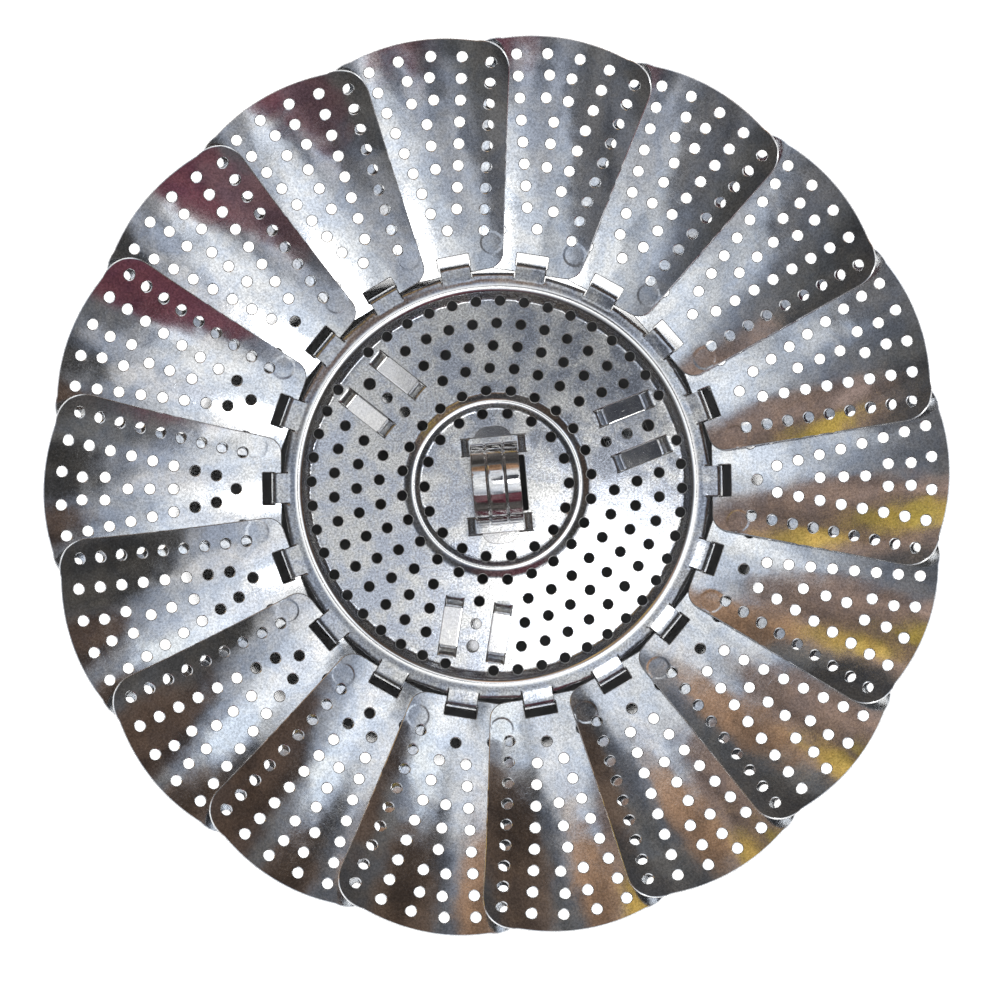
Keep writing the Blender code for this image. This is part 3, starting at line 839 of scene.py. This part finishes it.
def strap_mesh(name, path, tongue, ribbed):
    whole = path.length

    def surface(s, y):
        x, z = path.at(s)
        if not ribbed:
            return Vector((x, y, z))
        ax, az = path.at(s - SLOPE_STEP)
        bx, bz = path.at(s + SLOPE_STEP)
        run = math.hypot(bx - ax, bz - az)
        nx, nz = -(bz - az) / run, (bx - ax) / run
        fade = eased((min(s, whole - s) - tongue - RIB_FADE_FROM) / RIB_FADE)
        rise = rib_rise(y) * fade
        return Vector((x + nx * rise, y, z + nz * rise))

    narrow, wide = TONGUE_WIDTH / 2, STRAP_WIDTH / 2
    corner = TONGUE_CORNER_RADIUS
    side = [(0, 0)]
    for i in range(TONGUE_CORNER_STEPS + 1):
        a = math.pi / 2 * i / TONGUE_CORNER_STEPS
        side.append((corner * (1 - math.cos(a)), narrow - corner + corner * math.sin(a)))
    side.append((tongue - SHOULDER_LEAD, narrow))
    for i in range(SHOULDER_STEPS + 1):
        share = i / SHOULDER_STEPS
        side.append((tongue + SHOULDER * share, narrow + (wide - narrow) * eased(share)))
    half = side + [(whole - s, y) for s, y in reversed(side[1:])] + [(whole, 0)]
    loop = half[1:-1] + [(s, -y) for s, y in reversed(half[1:-1])]
    outline = divided(loop, STRAP_SPACING)
    columns = RIBBED_COLUMNS if ribbed else PLAIN_COLUMNS
    rows = round(whole / STRAP_ROW_STEP)
    dots = [(whole * i / rows, y * MM) for i in range(1, rows) for y in columns]
    inner = [d for d in dots if abs(d[1]) < (wide if tongue < d[0] < whole - tongue else narrow)]
    return sheet_mesh(name, outline, [], inner, surface, STRAP, STRAP_APART)


# Pieces


def place_piece(name, mesh, place, material, body, node):
    piece = bpy.data.objects.new(name, mesh)
    bpy.context.scene.collection.objects.link(piece)
    if not mesh.materials:
        mesh.materials.append(material)
    piece.matrix_world = place
    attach(piece, body)
    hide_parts(node)


# The plate's crests, which get a painted highlight: (radius, half width)
HIGHLIGHT_CRESTS = ((BEAD_RADIUS, 0.55 * MM), (DISC_RADIUS + 0.44 * RIM_WIDTH, 0.9 * MM))

satin = steel(
    "satin_steel_looks",
    light=(0.52, 0.52, 0.51),
    cool=(0.4, 0.43, 0.49),
    roughness=0.15,
    wave=0.14 * MM,
    grain=0.05,
    contrast=0.42,
    highlight_crests=HIGHLIGHT_CRESTS,
)
bright = steel(
    "bright_steel_looks",
    light=(0.76, 0.76, 0.75),
    cool=(0.6, 0.64, 0.7),
    roughness=0.075,
    wave=0.3 * MM,
    grain=0.08,
    contrast=0.32,
)
polished = steel(
    "polished_steel_looks",
    light=(0.74, 0.73, 0.71),
    cool=(0.66, 0.66, 0.67),
    roughness=0.06,
    wave=0.04 * MM,
    grain=0.02,
    contrast=0.12,
)

leaf = petal_mesh()
for i in range(PETALS):
    place_piece(
        f"petal_leaf_{i + 1:02d}",
        leaf,
        turned(PETAL_START + PITCH * i, HINGE_RADIUS, 0, HINGE_HEIGHT),
        bright,
        f"petal_{i + 1:02d}",
        f"petal_{i + 1:02d}",
    )

place_piece(
    "perforated_plate",
    plate_mesh(),
    turned(0, z=PLATE_HEIGHT),
    satin,
    "base",
    "base_plate",
)
path, tongue = handle_path()
place_piece(
    "ribbed_handle",
    strap_mesh("handle_strap", path, tongue, True),
    turned(HANDLE_ANGLE, z=PLATE_HEIGHT),
    polished,
    "base",
    "carry_handle",
)
path, tongue = leg_path()
leg_strap = strap_mesh("leg_strap", path, tongue, False)
for i in range(LEGS):
    angle = LEG_START + 2 * math.pi * i / LEGS
    place = turned(angle, LEG_RADIUS, 0, PLATE_HEIGHT, math.pi / 2)
    place_piece(f"leg_strap_{i + 1}", leg_strap, place, polished, "base", f"leg_{i + 1}")


# Floor, light and camera

FLOOR_HALF = 4.0
FLOOR_COLOUR = (0.06, 0.06, 0.06, 1.0)
FLOOR_ROUGHNESS = 0.9
FLOOR_LAMPS = 6
FLOOR_LAMP_LEAN = 0.18
FLOOR_LAMP_POWER = 9.3
FLOOR_LAMP_SPREAD = math.radians(8)

# The flag's outline is a circle with swells: (waves, swell, direction of a peak)
FLAG_HEIGHT = 13 * MM
FLAG_RADIUS = 86.8 * MM
FLAG_SWELLS = ((1, 12.1 * MM, math.radians(224)), (2, 8.6 * MM, math.radians(177.5)))
FLAG_SIDES = 72

BACKDROP_RADIUS = 4.0
BACKDROP_HEIGHT = 9.0
BACKDROP_SIDES = 64
BACKDROP_COLOUR = (1.0, 1.0, 1.0, 1.0)
FLASH_PLACE = (0.064, -0.03, 0.72)
FLASH_TARGET = (0, 0, 0.03)
FLASH_POWER = 0.25
FLASH_SIZE = 0.12

# The camera: the photo is 1000 x 1000, and its axis passes through a pixel a little off the middle
PHOTO_MIDDLE = 500
AXIS_PIXEL = (496.8, 484.8)
FOCAL_PIXELS = 2200
CAMERA_SENSOR = 36
CAMERA_LENS = 79.2
CAMERA_DISTANCE = 692.7 * MM
CAMERA_TILT_X = math.radians(-3.37)
CAMERA_TILT_Y = math.radians(-0.17)


def add_floor():
    mesh = bpy.data.meshes.new("floor")
    corners = [(x * FLOOR_HALF, y * FLOOR_HALF, 0) for x, y in ((-1, -1), (1, -1), (1, 1), (-1, 1))]
    mesh.from_pydata(corners, [], [(0, 1, 2, 3)])
    made, _, shader = nodes_of("pale_floor")
    shader.inputs["Base Color"].default_value = FLOOR_COLOUR
    shader.inputs["Roughness"].default_value = FLOOR_ROUGHNESS
    mesh.materials.append(made)
    floor = bpy.data.objects.new("floor", mesh)
    bpy.context.scene.collection.objects.link(floor)
    return floor


# The room that the steel mirrors, by the angle from straight up in degrees
ROOM_LIGHT = (
    (0, (1.0, 1.01, 1.04)),
    (7, (1.0, 1.02, 1.05)),
    (14, (0.97, 1.0, 1.04)),
    (21, (0.88, 0.92, 0.98)),
    (26, (0.68, 0.72, 0.79)),
    (31, (0.4, 0.43, 0.49)),
    (37, (0.23, 0.24, 0.27)),
    (46, (0.13, 0.13, 0.13)),
    (60, (0.075, 0.07, 0.068)),
    (90, (0.11, 0.1, 0.095)),
)

# Coloured things in the room: (direction, angle from straight up, angular radius), all in degrees, and colour
ROOM_PATCHES = (
    (68, 9.5, 6, (0.06, 0.065, 0.08)),
    (55, 26, 4, (0.45, 0.47, 0.5)),
    (74, 25, 7, (0.98, 1.0, 1.04)),
    (40, 32, 6, (0.85, 0.9, 0.95)),
    (57, 38, 7, (0.08, 0.075, 0.075)),
    (90, 33, 6, (0.38, 0.34, 0.32)),
    (22, 17, 7, (1.0, 1.0, 1.02)),
    (204, 24, 7, (0.5, 0.53, 0.58)),
    (240, 27, 8, (0.5, 0.52, 0.57)),
    (268, 34, 5, (0.6, 0.62, 0.68)),
    (298, 29, 9, (0.95, 0.97, 1.0)),
    (338, 27, 7, (1.0, 1.0, 1.03)),
    (130, 42, 17, (0.3, 0.21, 0.17)),
    (135, 47, 5, (0.85, 0.6, 0.12)),
    (118, 46, 6, (0.6, 0.4, 0.1)),
    (285, 50, 15, (0.14, 0.05, 0.065)),
    (264, 45, 10, (0.16, 0.09, 0.1)),
    (54, 49, 12, (0.11, 0.075, 0.055)),
    (96, 40, 8, (0.3, 0.18, 0.11)),
    (12, 50, 14, (0.09, 0.06, 0.045)),
    (340, 47, 12, (0.07, 0.065, 0.06)),
    (205, 41, 12, (0.17, 0.17, 0.18)),
)
RIGHT_ANGLE = 90

# The room's unevenness: noise scales and ranges, and how far the noise bends the bands and the patches' edges
ROOM_NOISE_SCALE = 5.0
ROOM_NOISE_RANGE = (0.3, 0.7)
ROOM_WARP = 0.05
PATCH_NOISE_SCALE = 9.0
PATCH_WARP = 0.02
PATCH_FADE = (0.15, 0.2)
LUMP_SCALE = 7.0
LUMP_NOISE_RANGE = (0.34, 0.66)
LUMP_LIGHT = (0.68, 1.32)

# Angular things in the room, away from its top: their size, bend and light, and where they begin and are full
THINGS_SCALE = 5.5
THINGS_BEND_SCALE = 6.0
THINGS_BEND = (0.3, 0.3, 0.3)
THINGS_LIGHT = (-0.5, 0.6)
THINGS_FROM = (0.22, 0.42)


def add_world():
    world = bpy.data.worlds.new("studio")
    bpy.context.scene.world = world
    world.use_nodes = True
    tree = world.node_tree
    links = tree.links
    way = add(tree, "ShaderNodeTexCoord").outputs["Generated"]
    split = add(tree, "ShaderNodeSeparateXYZ")
    links.new(way, split.inputs[0])
    zenith = math_node(tree, "ARCCOSINE", split.outputs["Z"], 0)
    share = math_node(tree, "DIVIDE", zenith, math.pi / 2)
    bands = noise(tree, way, ROOM_NOISE_SCALE, detail=3.0)
    warp = mapped(tree, bands, *ROOM_NOISE_RANGE, -ROOM_WARP, ROOM_WARP)
    bent = math_node(tree, "ADD", share, warp)
    colour = ramp(tree, bent, [(angle / RIGHT_ANGLE, tone) for angle, tone in ROOM_LIGHT])
    for direction, angle, radius, tone in ROOM_PATCHES:
        turn, lean = math.radians(direction), math.radians(angle)
        middle = (math.sin(lean) * math.cos(turn), math.sin(lean) * math.sin(turn), math.cos(lean))
        near = add(tree, "ShaderNodeVectorMath", operation="DOT_PRODUCT")
        links.new(way, near.inputs[0])
        near.inputs[1].default_value = middle
        warp = mapped(tree, noise(tree, way, PATCH_NOISE_SCALE), 0, 1, -PATCH_WARP, PATCH_WARP)
        soft = math_node(tree, "ADD", near.outputs["Value"], warp)
        edge = math.cos(math.radians(radius))
        outer, inner = edge - PATCH_FADE[0] * (1 - edge), edge + PATCH_FADE[1] * (1 - edge)
        mix = add(tree, "ShaderNodeMix", data_type="RGBA")
        links.new(mapped(tree, soft, outer, inner, 0.0, 1.0), mix.inputs["Factor"])
        links.new(colour, mix.inputs["A"])
        mix.inputs["B"].default_value = (*tone, 1.0)
        colour = mix.outputs["Result"]
    lump = noise(tree, way, LUMP_SCALE, detail=4.0, roughness=0.6, distortion=0.5)
    lumps = mapped(tree, lump, *LUMP_NOISE_RANGE, *LUMP_LIGHT)
    things = add(tree, "ShaderNodeTexVoronoi", feature="F1", Scale=THINGS_SCALE)
    bend = add(tree, "ShaderNodeTexNoise", Scale=THINGS_BEND_SCALE)
    links.new(way, bend.inputs["Vector"])
    warped = add(tree, "ShaderNodeVectorMath", operation="MULTIPLY_ADD")
    links.new(bend.outputs["Color"], warped.inputs[0])
    warped.inputs[1].default_value = THINGS_BEND
    links.new(way, warped.inputs[2])
    links.new(warped.outputs[0], things.inputs["Vector"])
    tone = add(tree, "ShaderNodeSeparateColor")
    links.new(things.outputs["Color"], tone.inputs[0])
    depth = mapped(tree, share, *THINGS_FROM, 0.0, 1.0)
    light = mapped(tree, tone.outputs[0], 0.0, 1.0, *THINGS_LIGHT)
    spread = math_node(tree, "MULTIPLY", light, depth)
    lumps = math_node(tree, "MULTIPLY", lumps, math_node(tree, "ADD", spread, 1.0))
    back = tree.nodes["Background"]
    links.new(colour, back.inputs["Color"])
    links.new(lumps, back.inputs["Strength"])


def add_lamp(name, kind, place, target, power, size):
    lamp = bpy.data.lights.new(name, kind)
    if kind == "AREA":
        lamp.shape = "DISK"
        lamp.size = size
    else:
        lamp.angle = size
    lamp.energy = power
    obj = bpy.data.objects.new(name, lamp)
    bpy.context.scene.collection.objects.link(obj)
    obj.location = place
    obj.rotation_euler = (Vector(target) - Vector(place)).to_track_quat("-Z", "Y").to_euler()
    obj.visible_camera = False
    return obj


def add_backdrop():
    """A pale wall round the floor, which the camera sees and the steel doesn't mirror."""
    mesh = bpy.data.meshes.new("backdrop")
    sides = BACKDROP_SIDES
    foot = ring_points((0, 0), BACKDROP_RADIUS, sides)
    dots = [(x, y, z) for z in (-BACKDROP_HEIGHT, BACKDROP_HEIGHT) for x, y in foot]
    after = [(i + 1) % sides for i in range(sides)]
    mesh.from_pydata(dots, [], [(i, after[i], sides + after[i], sides + i) for i in range(sides)])
    made, _, shader = nodes_of("pale_wall")
    shader.inputs["Base Color"].default_value = (0.0, 0.0, 0.0, 1.0)
    shader.inputs["Emission Color"].default_value = BACKDROP_COLOUR
    shader.inputs["Emission Strength"].default_value = 1.0
    mesh.materials.append(made)
    wall = bpy.data.objects.new("backdrop", mesh)
    bpy.context.scene.collection.objects.link(wall)
    for sight in ("diffuse", "glossy", "transmission", "shadow"):
        setattr(wall, f"visible_{sight}", False)


def linked_group(name, members):
    group = bpy.data.collections.new(name)
    for member in members:
        group.objects.link(member)
    return group


def add_floor_lamps(floor):
    """Steep lamps that light only the floor, with a studio flag that shades it below the plate."""
    mesh = bpy.data.meshes.new("flag")
    dots = []
    for i in range(FLAG_SIDES):
        angle = 2 * math.pi * i / FLAG_SIDES
        radius = FLAG_RADIUS
        for waves, swell, peak in FLAG_SWELLS:
            radius += swell * math.cos(waves * (angle - peak))
        dots.append((radius * math.cos(angle), radius * math.sin(angle), FLAG_HEIGHT))
    mesh.from_pydata(dots, [], [range(FLAG_SIDES)])
    flag = bpy.data.objects.new("flag", mesh)
    bpy.context.scene.collection.objects.link(flag)
    for sight in ("camera", "diffuse", "glossy", "transmission"):
        setattr(flag, f"visible_{sight}", False)
    lit, shading = linked_group("floor_lit", [floor]), linked_group("floor_shading", [flag])
    for i in range(FLOOR_LAMPS):
        angle = 2 * math.pi * i / FLOOR_LAMPS
        place = (FLOOR_LAMP_LEAN * math.cos(angle), FLOOR_LAMP_LEAN * math.sin(angle), 1.0)
        name = f"floor_lamp_{i + 1}"
        lamp = add_lamp(name, "SUN", place, (0, 0, 0), FLOOR_LAMP_POWER, FLOOR_LAMP_SPREAD)
        lamp.light_linking.receiver_collection = lit
        lamp.light_linking.blocker_collection = shading


def add_camera():
    data = bpy.data.cameras.new("camera")
    data.sensor_width = CAMERA_SENSOR
    data.lens = CAMERA_LENS
    pixel = CAMERA_DISTANCE / FOCAL_PIXELS
    across, up = (AXIS_PIXEL[0] - PHOTO_MIDDLE) * pixel, (PHOTO_MIDDLE - AXIS_PIXEL[1]) * pixel
    turn = Matrix.Rotation(CAMERA_TILT_X, 4, "X") @ Matrix.Rotation(CAMERA_TILT_Y, 4, "Y")
    back = turn.inverted()
    eye = Vector((0, 0, PLATE_HEIGHT + SHEET / 2)) + back @ Vector((-across, -up, CAMERA_DISTANCE))
    camera = bpy.data.objects.new("camera", data)
    bpy.context.scene.collection.objects.link(camera)
    camera.matrix_world = Matrix.Translation(eye) @ back
    bpy.context.scene.camera = camera


add_floor_lamps(add_floor())
add_backdrop()
add_world()
add_lamp("flash", "AREA", FLASH_PLACE, FLASH_TARGET, FLASH_POWER, FLASH_SIZE)
add_camera()
bpy.context.scene.view_settings.view_transform = "Standard"
